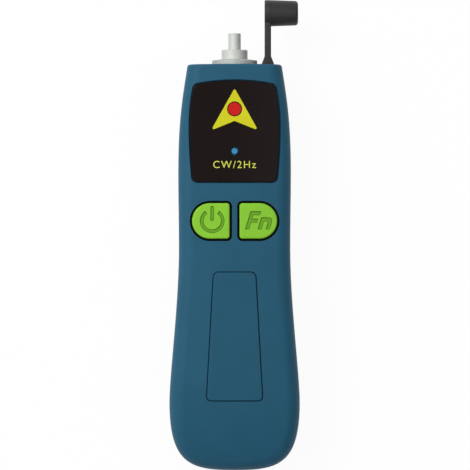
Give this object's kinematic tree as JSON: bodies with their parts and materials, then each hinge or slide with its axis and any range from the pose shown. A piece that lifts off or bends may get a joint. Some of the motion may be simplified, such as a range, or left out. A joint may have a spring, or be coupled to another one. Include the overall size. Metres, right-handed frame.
{
  "type": "visual fault locator",
  "caption": "Handheld red-light fibre tester: tapering rounded case with a dark window and green keys, a light port with a tethered dust cap at its head and a sliding battery cover behind.",
  "frame": {"origin": "on the table under the middle of the whole object, which lies on its back: X from the case's middle plane, Y half-way between the tail end and the top of the dust cap, Z at the flat back", "axes": "+Y along the case towards the light port, +Z out of the front face, +X to the right-hand key"},
  "size_m": [0.0416, 0.1504, 0.0245],
  "materials": {
    "case_plastic": "fine-grained moulded plastic",
    "cover_plastic": "fine-grained moulded plastic with thumb grooves",
    "plate_plastic": "fine-grained moulded plastic",
    "window_plastic": "dark satin panel",
    "yellow_ink": "printed",
    "red_ink": "printed",
    "clear_plastic": "clear moulded",
    "key_rubber": "satin moulded",
    "switch_plastic": "moulded",
    "plunger_plastic": "moulded",
    "board_laminate": "solder mask over laminate",
    "part_black": "moulded component body",
    "ferrite": "dull",
    "capacitor_ceramic": "fired",
    "led_body": "moulded",
    "steel": "plated",
    "port_metal": "satin turned",
    "collar_metal": "satin turned",
    "zirconia": "polished",
    "brass": "turned",
    "diode_can": "gold plated",
    "lens_glass": "polished",
    "black_rubber": "satin moulded",
    "cell_jacket": "printed film over steel",
    "spring_steel": "nickel plated"
  },
  "bodies": {
    "case": {"front_shell": "case_plastic", "rear_shell": "case_plastic", "case_screws": "steel", "window_panel": "window_plastic", "pointer_mark": "yellow_ink", "light_dot": "red_ink", "name_plate": "plate_plastic", "light_pipe": "clear_plastic", "power_switch": "switch_plastic", "fn_switch": "switch_plastic", "main_board": "board_laminate", "board_screws": "steel", "indicator_led": "led_body", "controller_chip": "part_black", "boost_inductor": "ferrite", "board_capacitors": "capacitor_ceramic", "port_body": "port_metal", "port_collar": "collar_metal", "ferrule_sleeve": "zirconia", "laser_barrel": "brass", "laser_diode": "diode_can", "focus_lens": "lens_glass", "lens_ring": "brass", "tether_root": "black_rubber", "battery_left": "cell_jacket", "battery_right": "cell_jacket", "plus_contact": "spring_steel", "minus_contact": "spring_steel", "bridge_contact": "spring_steel"},
    "power_key": {"power_button": "key_rubber", "power_plunger": "plunger_plastic"},
    "fn_key": {"fn_button": "key_rubber", "fn_plunger": "plunger_plastic"},
    "cover": {"battery_cover": "cover_plastic"},
    "cap": {"dust_cap": "black_rubber"}
  },
  "joints": [
    {"name": "power_key_press", "type": "slide", "parent": "case", "child": "power_key", "axis": [0, 0, -1], "range_m": [0, 0.0006], "stiffness_N_per_m": 600, "springref_m": -0.001},
    {"name": "fn_key_press", "type": "slide", "parent": "case", "child": "fn_key", "axis": [0, 0, -1], "range_m": [0, 0.0006], "stiffness_N_per_m": 600, "springref_m": -0.001},
    {"name": "cover_slide", "type": "slide", "parent": "case", "child": "cover", "axis": [0, -1, 0], "range_m": [0, 0.006]},
    {"name": "cap_swing", "type": "hinge", "parent": "case", "child": "cap", "pos_m": [0.01063, 0.0603, 0.012], "axis": [0, 0, 1], "range_deg": [-80, 60], "stiffness_Nm_per_rad": 0.0015}
  ]
}
